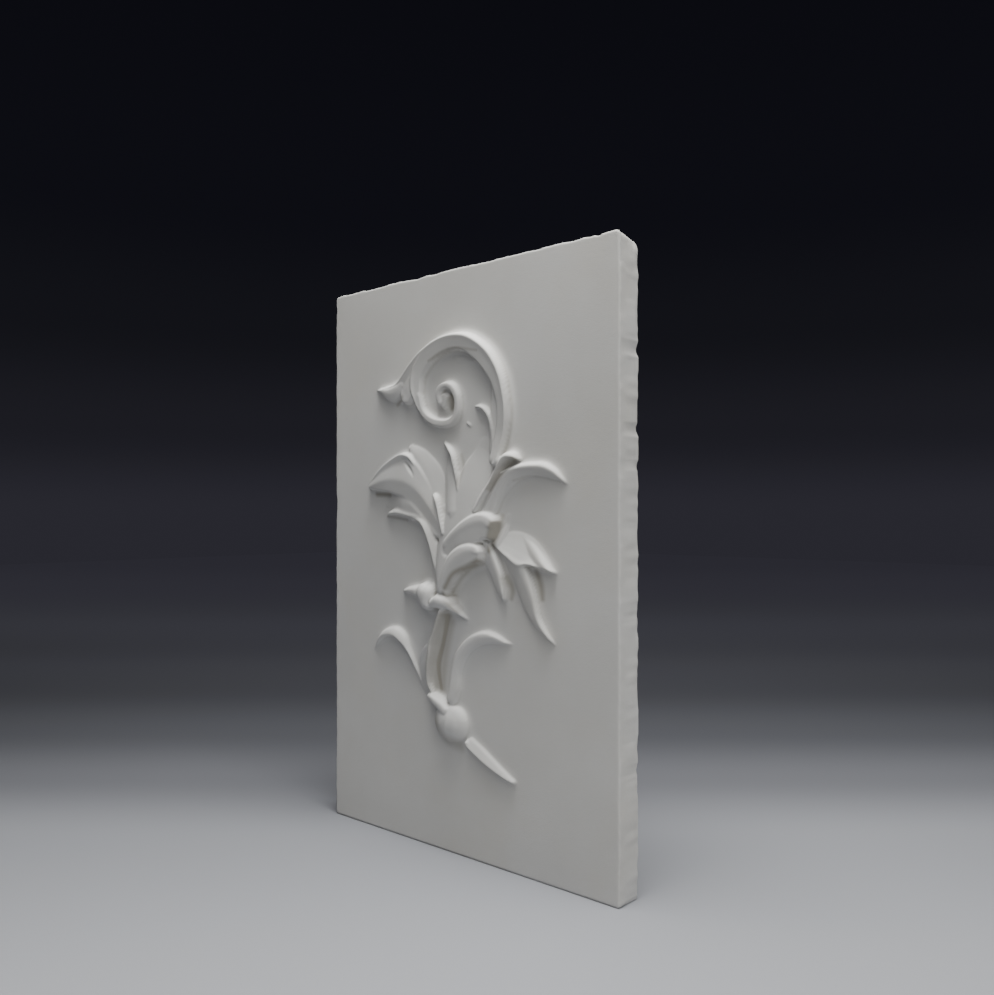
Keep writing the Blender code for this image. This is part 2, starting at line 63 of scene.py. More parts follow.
# Each worn edge has a seed, its longest and shortest wave, its share of the wander, and its chips as (place,
# half length, depth). The right edge's share is the one at the front, and at the back it wanders fully.
right_seed, right_waves, right_front_share = 10, (0.11, 0.012), 0.35
right_chips = ((0.497, 0.007, 0.0022), (0.424, 0.006, 0.0020), (0.392, 0.005, 0.0014),
               (0.262, 0.008, 0.0010), (0.118, 0.006, 0.0012))
left_seed, left_waves, left_share = 30, (0.12, 0.014), 0.7
left_chips = ((0.583, 0.005, 0.0012), (0.36, 0.012, 0.0010), (0.12, 0.010, 0.0008))
top_seed, top_waves, top_share = 50, (0.10, 0.012), 0.8
top_chips = ((0.176, 0.004, 0.0012), (-0.06, 0.010, 0.0008), (0.08, 0.012, 0.0008))


def wander(along, seed, longest, shortest):
    """A wavering between 0 and 1 along an edge, made of waves from longest to shortest."""
    chance = np.random.default_rng(seed)
    total = np.zeros_like(along)
    for length in np.geomspace(longest, shortest, wave_count):
        strength = (length / longest) ** wave_fade
        total += strength * np.sin(2 * np.pi * along / length + chance.uniform(0, last_phase))
    return np.clip(0.5 + total / wave_spread, 0, 1)


def chipped(along, chips):
    """How deep the chips of an edge go at each place along it."""
    total = np.zeros_like(along)
    for place, half_length, depth in chips:
        total = np.maximum(total, depth * np.clip(1 - ((along - place) / half_length) ** 2, 0, 1))
    return total


def worn_edge(x, z, depth):
    """Where a point of the square slab lies on the worn one. depth is 0 at the front and 1 at the back."""
    half = slab_width / 2
    strip = sum(depth > end for end in strip_ends)
    right_wander = wander(z, right_seed + strip, *right_waves)
    right = edge_wander * (right_front_share + (1 - right_front_share) * depth) * right_wander
    right = right + depth * chipped(z, right_chips)
    left = edge_wander * left_share * wander(z, left_seed + strip, *left_waves) + chipped(z, left_chips)
    top = edge_wander * top_share * wander(x, top_seed + strip, *top_waves) + chipped(x, top_chips)
    near_right = np.clip((x - half + wear_band) / wear_band, 0, 1)
    near_left = np.clip((-x - half + wear_band) / wear_band, 0, 1)
    near_top = np.clip((z - slab_height + wear_band) / wear_band, 0, 1)
    x = x - right * near_right + left * near_left
    z = z - top * near_top
    for side, upper in ((-1, False), (1, False), (-1, True), (1, True)):
        radius = corner_radius
        if side > 0 and upper:
            radius += (broken_corner_radius - corner_radius) * np.clip(break_growth * depth, 0, 1)
        outward = 1 if upper else -1
        middle = slab_height - radius if upper else radius
        dx = side * x - (half - radius)
        dz = outward * (z - middle)
        inside = (dx > 0) & (dz > 0)
        pull = np.where(inside, np.maximum(dx, dz) / np.maximum(np.hypot(dx, dz), 1e-9), 1)
        x = np.where(inside, side * (half - radius + dx * pull), x)
        z = np.where(inside, middle + outward * dz * pull, z)
    return x, z


# The ornament on the panel
# An acanthus scroll rising from a bud: stalk, cup, two curls, a knot, a calyx of leaves and a tight volute.
# It is cast in one with the slab. Each form below follows the sculptor's template from its root to its tip.
ornament_height = 0.455
ornament_foot = 0.080
relief_height = slab_front - low[1]
template_height = 455.0
unit = ornament_height / template_height
wall_run = 2.0                  # how far a form's edge takes to rise, in template units
softness = 0.7                  # rounding of the carved edges
foot_spread = 3.0               # reach of the soft fillet at a form's foot
foot_share = 0.55               # how much of the blurred height the fillet keeps
thinnest = 0.6                  # a form is nowhere narrower or lower than this

# Cross-sections: pairs of a place across a form, from -1 at its left edge to 1 at its right edge, and the
# share of its height there
full_round = ((-1, 0.25), (-0.75, 0.66), (-0.4, 0.93), (0, 1), (0.4, 0.93), (0.75, 0.66), (1, 0.25))
soft = ((-1, 0.6), (-0.6, 0.88), (0, 1), (0.6, 0.88), (1, 0.6))
plate = ((-1, 0.85), (-0.7, 0.97), (0, 1), (0.7, 0.97), (1, 0.85))
outer_rim = ((-1, 0.5), (-0.8, 0.7), (-0.5, 0.77), (0, 0.85), (0.4, 0.94), (0.68, 1), (0.86, 0.84), (1, 0.35))
upper_edge = ((-1, 0.3), (-0.75, 0.65), (-0.45, 0.96), (-0.2, 1), (0.4, 0.7), (1, 0.34))
lower_crest = ((-1, 0.8), (-0.6, 1), (-0.2, 0.96), (0.4, 0.74), (1, 0.36))
high_right = ((-1, 0.5), (-0.5, 0.75), (0, 0.9), (0.6, 1), (1, 0.95))
lobe_face = ((-1, 0.62), (-0.82, 0.9), (-0.55, 1), (0.2, 0.95), (1, 0.86))
flat_top = ((-1, 0.35), (-0.6, 0.78), (0, 1), (0.6, 1), (1, 0.8))
terrace = ((-1, 1), (0.6, 1), (1, 0.7))
turned = ((-1, 0.04), (-0.5, 0.3), (0, 0.58), (0.5, 0.82), (0.85, 1), (1, 0.92))
ramped = ((-1, 0.2), (-0.5, 0.45), (0, 0.66), (0.5, 0.88), (0.85, 1), (1, 0.9))
tail = ((-1, 0.85), (-0.6, 1), (0, 0.85), (0.5, 0.6), (1, 0.15))
under = ((-1, 0.9), (-0.5, 1), (0.2, 0.8), (1, 0.4))
curl = ((-1, 0.45), (-0.65, 0.88), (-0.35, 1), (0.3, 0.88), (1, 0.55))
folded_edge = ((-1, 0.45), (-0.5, 0.85), (-0.1, 1), (1, 0.98))
soft_right = ((-1, 0.5), (-0.4, 0.9), (0.2, 1), (0.7, 0.85), (1, 0.45))
layer = ((-1, 0.4), (-0.4, 0.85), (0.2, 1), (1, 0.9))
dome = ((-1, 0.12), (-0.85, 0.45), (-0.5, 0.82), (0, 1), (0.5, 0.82), (0.85, 0.45), (1, 0.12))
sheath = ((-1, 0.04), (-0.5, 0.34), (0, 0.64), (0.5, 0.9), (0.85, 1), (1, 0.97))
ball = ((-1, 0.45), (-0.6, 0.84), (0, 1), (0.6, 0.84), (1, 0.45))
hollow = ((-1, 0.74), (-0.7, 0.8), (-0.3, 0.9), (0, 0.97), (0.25, 0.92), (0.6, 0.8), (1, 0.66))
lip = ((-1, 0.72), (-0.5, 0.86), (0, 1), (0.5, 0.92), (1, 0.45))
fan = ((-1, 0.95), (-0.4, 1), (0.1, 0.86), (0.6, 0.5), (1, 0.12))
groove = ((-1, 1), (1, 1))

# Each form: its name, whether it melts into what it crosses, its cross-section, and stations along its middle
# from root to tip, as (across, up from the ornament's foot, width to the left, width to the right, height)
forms = (
    ("leaf web", True, terrace, (
        (-20, 255, 14, 18, 7.5), (-50, 274, 15, 20, 7.5), (-75, 281, 13, 18, 6.6), (-90, 281, 10, 13, 4),
        (-101, 279.5, 8, 9, 1.4), (-108, 278, 4, 4, 0.2))),
    ("scroll terrace", True, terrace, (
        (2, 426.5, 7, 6, 0.6), (18, 425.5, 9, 7, 1.6), (34, 421, 10, 6.5, 2.4), (46, 411, 10, 7, 3.2),
        (54, 396, 10, 8, 4), (56, 378, 10, 9, 4.5), (55, 360, 10, 9, 4.5), (54, 344, 9, 8, 4.5))),
    ("scroll lower lobe", True, plate, (
        (-34, 428, 3, 8, 8.8), (-48, 420, 4, 11, 8.8), (-60, 408, 8, 11, 8.8), (-67, 398.5, 11, 12, 8.6),
        (-71, 394.5, 11, 11, 8.2))),
    ("scroll band", True, outer_rim, (
        (58, 321, 9, 8, 13.5), (61, 333, 9, 8, 11.5), (64.5, 346, 9, 8.5, 10.5), (66.5, 360, 9, 9, 11),
        (66.5, 373, 9, 9, 11.5), (64.5, 386, 9.5, 9, 12), (60.5, 399, 10.5, 9.5, 12),
        (54, 411, 12, 10, 12), (44, 423, 12.5, 10.5, 12), (31, 432.5, 11.5, 11, 12), (16, 439, 9, 12, 12),
        (0, 441.5, 8, 12, 12), (-16, 440, 8, 12, 12), (-31, 435, 9, 12, 12), (-44, 427, 10, 9, 11.5),
        (-53, 416, 9.5, 9, 11), (-56.5, 403, 10, 8, 10.5), (-55.5, 391, 9, 5.5, 10),
        (-51, 380, 7.5, 5, 9))),
    ("scroll neck", True, outer_rim, (
        (10, 439.5, 7, 10, 8), (-4, 441, 7, 11, 10), (-16, 440, 8, 12, 11.6), (-31, 435.5, 8, 11.8, 12),
        (-45, 429.5, 7.5, 11, 11.8), (-57, 422.5, 7, 10, 11.2), (-67, 415.5, 7, 9, 10.6),
        (-76, 409.5, 6, 7.5, 10), (-86, 406, 5, 5, 9.2), (-98, 405, 4, 3.5, 8), (-110, 405, 3, 2.5, 6.5))),
    ("scroll head", True, soft_right, (
        (-78, 406, 6, 5, 9), (-86, 401, 10, 8, 9.4), (-95, 398.5, 10, 8.5, 9), (-104, 399.5, 8, 7, 8),
        (-114, 402.5, 4, 4.5, 6.5), (-125, 404.5, 1.2, 1.2, 3))),
    ("head valley", False, groove, (
        (-89, 387.5, 1.2, 1.2, 5.5), (-83, 388.5, 1.8, 1.8, 6), (-78, 392, 1.4, 1.4, 7.2))),
    ("scroll eye", True, plate, (
        (-52.5, 391, 6, 6, 8.5), (-49, 379, 5.5, 5.5, 8), (-41, 370.5, 4.5, 6.5, 7.4),
        (-30, 365, 4.5, 7, 7), (-17.5, 362.5, 4.5, 7, 6.8), (-6.5, 363.5, 4.5, 7, 6.8),
        (0.8, 369, 4.5, 6.5, 7), (3.2, 378, 4.5, 6, 7.2), (1.8, 388, 4.5, 6, 7.6),
        (-4, 396.5, 4.5, 6, 8.4), (-12, 400, 4.5, 5, 9), (-19.5, 397.5, 5, 5, 9), (-23, 390.5, 5, 5, 8.5),
        (-21.5, 383.5, 5, 5, 7.5))),
    ("scroll knob", True, plate, (
        (-15.5, 386, 7.5, 7.5, 6), (-16.5, 382, 7, 7, 5.5))),
    ("scroll hole", False, groove, (
        (-6.8, 391, 2.4, 2.4, 1.2), (-7, 384, 3.2, 3.2, 0.6), (-8.5, 376.5, 2.8, 2.8, 0.8))),
    ("sprig b", True, soft, (
        (18, 357, 1.6, 1.6, 2), (13.5, 360, 1.6, 1.6, 3))),
    ("sprig a", True, high_right, (
        (51, 330, 6, 6, 6), (50.5, 344, 5, 5, 6), (48.5, 357, 4.5, 4.5, 6.5), (43, 368, 3.5, 4.5, 7.2),
        (35, 373.8, 2.8, 3.5, 7), (25.5, 375.3, 1.5, 1.5, 5))),
    ("right leaf root", True, plate, (
        (44, 260, 12, 10, 7.5), (53, 280, 13, 9, 7.5), (64, 298, 11, 8, 7.8), (74, 307, 7, 6, 8))),
    ("right leaf", True, upper_edge, (
        (40, 260, 9, 10, 9), (47, 272, 9, 10, 9), (57, 288, 8, 10, 9), (68, 300.5, 8, 10.5, 9),
        (80, 308, 8, 10, 9), (92, 310.5, 7.5, 8.5, 9), (104, 311, 7.5, 7.5, 8.8), (116, 310, 7.5, 8, 8),
        (127, 306, 6, 6.5, 6.5), (135, 301, 3.5, 4, 4.5), (142, 295.5, 1, 1, 2))),
    ("under leaf", True, under, (
        (43, 234, 9, 9, 8), (49, 222, 10, 10, 8), (56.5, 209, 9.5, 9.5, 8), (61, 198, 8, 8.5, 8),
        (64, 190, 6, 6.5, 7.5), (65, 187, 5, 5, 7))),
    ("turned leaf tail", True, tail, (
        (74, 232, 12, 12, 10), (83, 217, 13, 13, 10), (90, 203, 13, 12.5, 9), (96, 190, 12, 12.5, 8),
        (101, 178, 10, 10.5, 7), (107, 167, 7, 7.5, 7), (115.5, 157, 4.5, 4.5, 6),
        (127, 146, 1.2, 1.2, 3))),
    ("turned leaf", False, turned, (
        (52, 242, 4, 5, 7), (64, 240, 12, 10, 8.2), (78, 236, 17, 12.5, 10.4), (92, 231, 18, 14.5, 11.5),
        (104, 226, 15.5, 9, 11), (116, 220.5, 9.5, 6, 10), (129, 213, 1.5, 1.5, 8))),
    ("turned leaf edge", True, folded_edge, (
        (80, 247, 4.5, 6, 1.2), (90, 243, 5, 9, 2.6), (100, 236, 6, 11, 5), (108, 229, 6, 9, 6.8),
        (116, 222, 5, 6, 8.2), (127, 214, 2, 2, 8))),
    ("left lobe upper", True, fan, (
        (-16, 264, 13, 18, 8.5), (-29, 286, 14, 20, 7.6), (-41, 307, 15, 20, 6.8), (-51, 322, 15, 15, 5.8),
        (-60, 332, 11, 10, 5), (-68, 338.5, 5.5, 5, 3.5))),
    ("left lobe lower", True, lower_crest, (
        (-50, 267, 6, 7, 8.5), (-65, 268.5, 6, 6, 8.5), (-78, 270, 5, 6, 8), (-90, 270.5, 4.5, 5, 7.5),
        (-100, 269, 3.5, 3.5, 6.5), (-108, 265.5, 1.2, 1.2, 4))),
    ("left lobe main", False, hollow, (
        (-13, 252, 12, 8, 9.5), (-32, 274, 16, 11, 9.8), (-52, 293, 18, 18, 10.4),
        (-70, 302, 18, 26, 10.8), (-88, 305, 17, 23.5, 10.5), (-105, 304.5, 14, 18, 10),
        (-120, 301.5, 9.5, 12, 9), (-132.5, 297.5, 3.5, 5, 7.5))),
    ("left lobe rim", True, lip, (
        (-57, 317, 2, 2, 8), (-60.5, 323, 3, 3, 9.4), (-66, 328.3, 4, 3.5, 10.2),
        (-73.5, 331, 6, 3.5, 10.6), (-81.5, 330.8, 8, 3.2, 10.4), (-92.5, 327, 8, 3, 10),
        (-106.5, 320.5, 8, 3, 9.4), (-120.5, 311, 5, 3, 8.6), (-133, 301.5, 2, 2, 7))),
    ("left lobe fold", False, groove, (
        (-76, 325, 1.2, 1.2, 8.5), (-70, 321, 2, 2, 6.5), (-64, 315.5, 2, 2, 6.5),
        (-58, 308, 1.2, 1.2, 8))),
    ("middle lobe", True, layer, (
        (-2, 270, 12, 12, 11), (-5, 290, 11, 12, 7.5), (-7, 308, 10, 12, 5), (-7, 322, 8, 10, 3.5),
        (-9, 332, 5, 6, 2))),
    ("calyx left rim", True, lower_crest, (
        (-22, 210, 5, 7, 10), (-27, 226, 5, 8, 11), (-32, 240, 5, 8, 11.5), (-38, 252, 5, 8, 11.8),
        (-46, 260.5, 4.5, 6.5, 11), (-55, 263, 3.5, 5, 9.5), (-63, 262.5, 2.5, 3, 7.5),
        (-69, 261.5, 1.2, 1.2, 5.5))),
    ("tall sprig", True, high_right, (
        (6, 292, 3, 2, 9), (4, 304, 3, 2.5, 10), (1, 316, 3, 3, 10.5), (-3, 327.5, 2.6, 3.3, 10.5),
        (-9.5, 335.5, 2.2, 2.7, 9.5), (-18.5, 341.5, 1.4, 1.4, 7))),
    ("calyx trunk", True, flat_top, (
        (-15, 186, 11, 11, 13), (-14, 205, 14, 15, 13.5), (-10, 222, 18, 17, 13), (-3, 240, 22, 21, 12.5),
        (5, 258, 25, 25, 11.5), (13, 276, 25, 27, 9.8), (21, 294, 23, 27, 7.4), (28, 311, 20, 24, 4.2),
        (34, 325, 14, 16, 1.5), (38, 337, 9, 9, 0.2))),
    ("pointed tip", True, full_round, (
        (-12, 248, 3, 4, 12.8), (-16, 262, 3, 4, 13.2), (-19, 274, 3, 3.5, 13.5),
        (-22, 283, 3.5, 3.2, 13.5), (-26, 287.5, 3, 2.5, 12.5), (-29, 288, 1.5, 1.5, 11))),
    ("tip slot", False, groove, (
        (-12, 263, 1, 1, 8.5), (-13.5, 270, 1.6, 1.6, 5), (-14.5, 277, 1, 1, 8.5))),
    ("calyx tip", True, high_right, (
        (32, 272, 6, 4, 12.5), (44, 288, 6, 4, 13), (54, 300, 6, 4, 13.2), (61.5, 311, 6, 4, 13.6),
        (67, 319.5, 5.5, 4.5, 14), (73, 324.3, 5, 4.5, 14.2), (80, 324, 4, 4, 13), (86, 320.5, 2, 2, 10))),
    ("upper mid lobe", False, lobe_face, (
        (-3, 237, 9, 13, 13.5), (9, 244.5, 10.5, 15, 15), (22, 251, 12.5, 17, 15.6),
        (34, 255, 14, 17, 15.8), (43, 256.5, 14.5, 16, 15.6), (50, 255.5, 14, 14, 15.4))),
    ("lobe end", False, groove, (
        (69, 266, 3.5, 3.5, 0.3), (66.5, 260, 5.5, 5.5, 0.6), (63, 251, 6, 6, 3), (58, 239, 5, 5, 6.5))),
    ("lower mid lobe", False, lobe_face, (
        (-10, 192, 8, 7, 14.5), (-1, 204, 13, 8, 15.6), (9, 215, 17, 9, 16.4), (20, 223, 16, 10, 17),
        (28, 227, 13.5, 10.5, 17), (34, 228, 12, 11, 16.6))),
    ("left curl", True, lower_crest, (
        (-53, 92, 2, 2, 4), (-58, 102, 2.3, 2.6, 5.5), (-64, 113, 2.6, 3, 7), (-71, 124, 3.4, 4, 8),
        (-79, 133.5, 5.5, 7, 9), (-89, 139.5, 6.5, 7, 9), (-100, 139.8, 6, 6, 8), (-110, 137, 4.7, 5, 7),
        (-118, 131.5, 3.8, 4, 6), (-124, 125.5, 2.5, 2.5, 4.5), (-130, 119, 1, 1, 2.5))),
    ("right curl", True, curl, (
        (-6, 80, 7, 9, 8), (-2, 92, 8, 9, 7.5), (0, 106, 8, 8.5, 7), (4, 118, 8.5, 8, 7),
        (11, 128.5, 9, 7.5, 7), (21, 137, 9, 7, 6.5), (33, 143, 8.5, 7, 6.5), (45, 145.5, 7.5, 7, 6.5),
        (56, 145, 5.5, 5.5, 5.5), (66, 143, 3, 3.5, 4), (74, 141.5, 1, 1, 2))),
    ("stem fold", True, full_round, (
        (-55, 110, 1.5, 1.5, 4), (-50.5, 118.5, 2.4, 2.4, 6.5), (-45, 127, 2.4, 2.4, 8.5),
        (-41, 132, 1.5, 1.5, 9))),
    ("sheath", True, sheath, (
        (-33, 80, 10, 3, 9), (-40, 92, 16, 5.5, 10), (-42.5, 108, 17, 9.5, 11), (-38, 123, 14, 8, 12.5),
        (-33, 137, 9, 5, 14), (-27, 149, 7, 4.5, 15), (-21, 162, 6, 5, 16), (-16, 174, 6, 6, 16))),
    ("bud", True, dome, (
        (-12, 55.5, 20, 20, 12), (-7, 54.5, 21.5, 21.5, 13), (-2, 54, 20, 20, 12.5))),
    ("cup lip", True, soft, (
        (-36, 78.5, 4.5, 4.5, 9), (-28, 76.5, 6, 6.5, 11.5), (-19, 72.5, 7, 7, 12.5), (-11, 67, 7, 7, 12))),
    ("end stalk", False, ramped, (
        (20, 37.5, 6.5, 7, 7), (32, 31, 6.8, 7, 7), (45, 24, 6.2, 6.5, 7), (58, 17.5, 5, 5.5, 6.5),
        (69, 12.5, 4, 4.4, 6), (77, 9.2, 3, 3, 5.2))),
    ("collar petal", True, full_round, (
        (-40, 184, 10, 10, 12), (-54, 186, 8, 8, 10.5), (-64, 186.5, 6, 6, 9), (-73, 186, 4, 4, 7),
        (-80, 185.5, 1.8, 1.8, 4.5))),
    ("collar left bud", False, ball, (
        (-37, 178, 12, 12, 15.5), (-39.5, 184, 14, 14, 16.5), (-42, 186, 12, 12, 16))),
    ("collar right bud", False, ball, (
        (-26, 176, 7, 7, 15), (-17, 178.5, 9.5, 9.5, 16.8), (-8, 177, 8.5, 8.5, 15.5),
        (0, 171.5, 5.5, 5.5, 11), (7, 166.5, 3.5, 3.5, 6.5), (14, 161.5, 2, 2, 2.5))),
)


def smooth_path(stations, steps=14):
    """A smooth curve through the stations, sampled finely with its widths and heights."""
    points = np.array(stations, float)
    ends = np.vstack([2 * points[0] - points[1], points, 2 * points[-1] - points[-2]])
    t = np.linspace(0, 1, steps, endpoint=False)[:, None]
    runs = []
    for a, b, c, d in zip(ends, ends[1:], ends[2:], ends[3:]):
        bend = 2 * a - 5 * b + 4 * c - d
        twist = -a + 3 * b - 3 * c + d
        runs.append(0.5 * (2 * b + (c - a) * t + bend * t ** 2 + twist * t ** 3))
    path = np.vstack(runs + [points[-1:]])
    path[:, 2:] = np.maximum(path[:, 2:], thinnest)
    return path


def across(section, place):
    """A cross-section's share of height at each place across the form, as a smooth curve."""
    places, shares = np.array(section, float).T
    slopes = np.gradient(shares, places)
    left = np.clip(np.searchsorted(places, place) - 1, 0, len(places) - 2)
    span = places[left + 1] - places[left]
    t = np.clip((place - places[left]) / span, 0, 1)
    start = (2 * t ** 3 - 3 * t ** 2 + 1) * shares[left] + (t ** 3 - 2 * t ** 2 + t) * span * slopes[left]
    end = (3 * t ** 2 - 2 * t ** 3) * shares[left + 1] + (t ** 3 - t ** 2) * span * slopes[left + 1]
    return start + end


def carve_form(x, z, section, stations):
    """One form's height at each point, and how far each point lies inside the form's edge."""
    path = smooth_path(stations)
    steps = path[1:, :2] - path[:-1, :2]
    nearest = np.full(x.shape, np.inf)
    along = np.zeros(x.shape)
    side = np.ones(x.shape)
    for index, (step, point) in enumerate(zip(steps, path)):
        dx = x - point[0]
        dz = z - point[1]
        t = np.clip((dx * step[0] + dz * step[1]) / (step @ step + 1e-9), 0, 1)
        gap = (dx - t * step[0]) ** 2 + (dz - t * step[1]) ** 2
        closer = gap < nearest
        nearest = np.where(closer, gap, nearest)
        along = np.where(closer, index + t, along)
        side = np.where(closer, np.where(step[0] * dz - step[1] * dx > 0, -1.0, 1.0), side)
    distance = np.sqrt(nearest)
    order = np.arange(len(path))
    left, right, height = (np.interp(along, order, path[:, column]) for column in (2, 3, 4))
    reach = np.where(side < 0, left, right)
    place = np.clip(side * distance / reach, -1, 1)
    return height * across(section, place), np.clip((reach - distance) / wall_run, 0, 1)


def soften(height, spread):
    """Blur a height map by a spread in template units."""
    sigma = spread / template_step
    reach = int(np.ceil(3 * sigma))
    weights = np.exp(-0.5 * (np.arange(-reach, reach + 1) / sigma) ** 2)
    weights /= weights.sum()
    for axis in (0, 1):
        pad = [(reach, reach) if a == axis else (0, 0) for a in range(2)]
        padded = np.pad(height, pad, mode="edge")
        length = height.shape[axis]
        height = sum(weight * np.take(padded, range(start, start + length), axis)
                     for start, weight in enumerate(weights))
    return height


def ornament_heights(columns, rows):
    """Height of the whole ornament above the ground, in template units, on a grid of rows and columns."""
    x, z = np.meshgrid(columns, rows)
    total = np.zeros(x.shape)
    for _, joined, section, stations in forms:
        places = np.array(stations, float)
        reach = places[:, 2:4].max() + foot_spread
        corner = places[:, :2].min(axis=0) - reach
        far_corner = places[:, :2].max(axis=0) + reach
        c = slice(*np.searchsorted(columns, (corner[0], far_corner[0])))
        r = slice(*np.searchsorted(rows, (corner[1], far_corner[1])))
        height, cover = carve_form(x[r, c], z[r, c], section, stations)
        beneath = total[r, c]
        if joined:
            total[r, c] = np.maximum(beneath, height * cover)
        else:
            total[r, c] = beneath + (height - beneath) * cover
    total = soften(total, softness)
    return np.maximum(total, foot_share * soften(total, foot_spread))


# The panel's net of faces
# The front is a fine net at the ornament and along its own edges, and has wide faces on the plain ground.
# Rings of faces run round the narrow sides, and the screeded back closes the slab.
mesh_step = 0.00115
block = 8                       # plain ground is left as blocks of this many steps
lowest_carving = 0.02           # what stands out less than this, in template units, is plain ground
column_count = int(round(slab_width / mesh_step / block)) * block
row_count = int(round(slab_height / mesh_step / block)) * block
columns = np.linspace(-slab_width / 2, slab_width / 2, column_count + 1)
rows = np.linspace(0, slab_height, row_count + 1)
template_step = (columns[1] - columns[0]) / unit
template_columns = columns / unit
template_rows = (rows - ornament_foot) / unit
heights = ornament_heights(template_columns, template_rows)
heights[heights < lowest_carving] = 0
standing = heights * (relief_height / heights.max())

x, z = np.meshgrid(columns, rows)
inset = np.minimum(np.minimum(x + slab_width / 2, slab_width / 2 - x), np.minimum(z, slab_height - z))
round_off = arris - np.sqrt(np.clip(arris ** 2 - np.clip(arris - inset, 0, arris) ** 2, 0, None))
front_x, front_z = worn_edge(x, z, 0.0)
front_y = slab_front - standing + round_off
points = [np.stack([front_x, front_y, front_z], -1).reshape(-1, 3)]
number = np.arange(x.size).reshape(x.shape)
total_points = x.size
faces = []

block_rows = row_count // block
block_columns = column_count // block
plain_blocks = np.zeros((block_rows, block_columns), bool)
for r in range(1, block_rows - 1):
    for c in range(1, block_columns - 1):
        patch = heights[r * block:(r + 1) * block + 1, c * block:(c + 1) * block + 1]
        plain_blocks[r, c] = patch.max() == 0


def edge_run(r, c, dr, dc, plain_beside):
    """The points along one side of a plain block. They are all used where the block beside it is fine."""
    steps = [0] if plain_beside else range(block)
    return [number[r + dr * s, c + dc * s] for s in steps]


for r in range(block_rows):
    for c in range(block_columns):
        bottom, left_edge = r * block, c * block
        if plain_blocks[r, c]:
            face = edge_run(bottom, left_edge, 0, 1, plain_blocks[r - 1, c])
            face += edge_run(bottom, left_edge + block, 1, 0, plain_blocks[r, c + 1])
            face += edge_run(bottom + block, left_edge + block, 0, -1, plain_blocks[r + 1, c])
            face += edge_run(bottom + block, left_edge, -1, 0, plain_blocks[r, c - 1])
            faces.append(tuple(int(v) for v in face))
        else:
            corner = number[bottom:bottom + block + 1, left_edge:left_edge + block + 1]
            quads = np.stack([corner[:-1, :-1], corner[:-1, 1:], corner[1:, 1:], corner[1:, :-1]], -1)
            faces += [tuple(quad) for quad in quads.reshape(-1, 4).tolist()]

# Rings round the narrow sides: depth behind the front, and how far the ring draws in for the back's arris
rings = ((0.0032, 0.0), (0.006, 0.0), (0.011, 0.0), (0.016, 0.0), (0.021, 0.0), (0.025, 0.0),
         (0.0284, 0.0), (0.0295, 0.0002), (slab_thickness, 0.0009))
rim_sink = 0.75                 # the front's own rim lies this share of the arris behind the front
rim = ([(0, c) for c in range(column_count)] + [(r, column_count) for r in range(row_count)]
       + [(row_count, c) for c in range(column_count, 0, -1)] + [(r, 0) for r in range(row_count, 0, -1)])
rim_rows, rim_columns = np.array(rim).T
rim_x = columns[rim_columns]
rim_z = rows[rim_rows]
previous = number[rim_rows, rim_columns]
points[0][previous, 1] = slab_front + arris * rim_sink
for depth, inward in rings:
    ring_x, ring_z = worn_edge(rim_x, rim_z, depth / slab_thickness)
    ring_x = ring_x * (1 - inward / (slab_width / 2))
    ring_z = slab_height / 2 + (ring_z - slab_height / 2) * (1 - inward / (slab_height / 2))
    ring = total_points + np.arange(len(rim))
    total_points += len(rim)
    points.append(np.stack([ring_x, np.full(len(rim), slab_front + depth), ring_z], -1))
    after = np.roll(np.arange(len(rim)), -1)
    quads = np.stack([previous, ring, ring[after], previous[after]], -1)
    faces += [tuple(quad) for quad in quads.tolist()]
    previous = ring

back_number = {key: int(point) for key, point in zip(rim, previous)}
back_points = []
for r in range(block, row_count, block):
    for c in range(block, column_count, block):
        back_number[(r, c)] = total_points
        total_points += 1
        back_points.append((columns[c], high[1], rows[r]))
points.append(np.array(back_points))


def back_run(start, end):
    """The points from one corner of a back face to the next. On the rim they are all used."""
    (r0, c0), (r1, c1) = start, end
    on_rim = (r0 == r1 and r0 in (0, row_count)) or (c0 == c1 and c0 in (0, column_count))
    if not on_rim:
        return [back_number[start]]
    dr = int(np.sign(r1 - r0))
    dc = int(np.sign(c1 - c0))
    return [back_number[(r0 + dr * s, c0 + dc * s)] for s in range(block)]


for r in range(0, row_count, block):
    for c in range(0, column_count, block):
        corners = [(r, c), (r + block, c), (r + block, c + block), (r, c + block)]
        face = []
        for start, end in zip(corners, corners[1:] + corners[:1]):
            face += back_run(start, end)
        faces.append(tuple(face))

# Painted shade and highlight on the panel, with some dirt and dust
# A brown tint lies in thin lines along the forms' feet, in ground closed in between leaves, and in marks
# where the carving is deepest: partly old dirt, mostly painted shade. A pale tint on what faces upwards is
# partly dust and partly painted highlight. The mesh carries both at its points.
line_reach = 1.8                # blur of the heights that the thin lines are measured against
line_depth = 2.2                # depth below that blur at which a line is darkest
line_dirt_and_shade = 0.6
closed_reach = 8.0              # blur of the heights that closed-in ground is measured against
closed_start = 4.0              # depth below that blur at which its darkening starts
closed_depth = 4.0              # and how much deeper it has all of it
closed_dirt_and_shade = 0.7
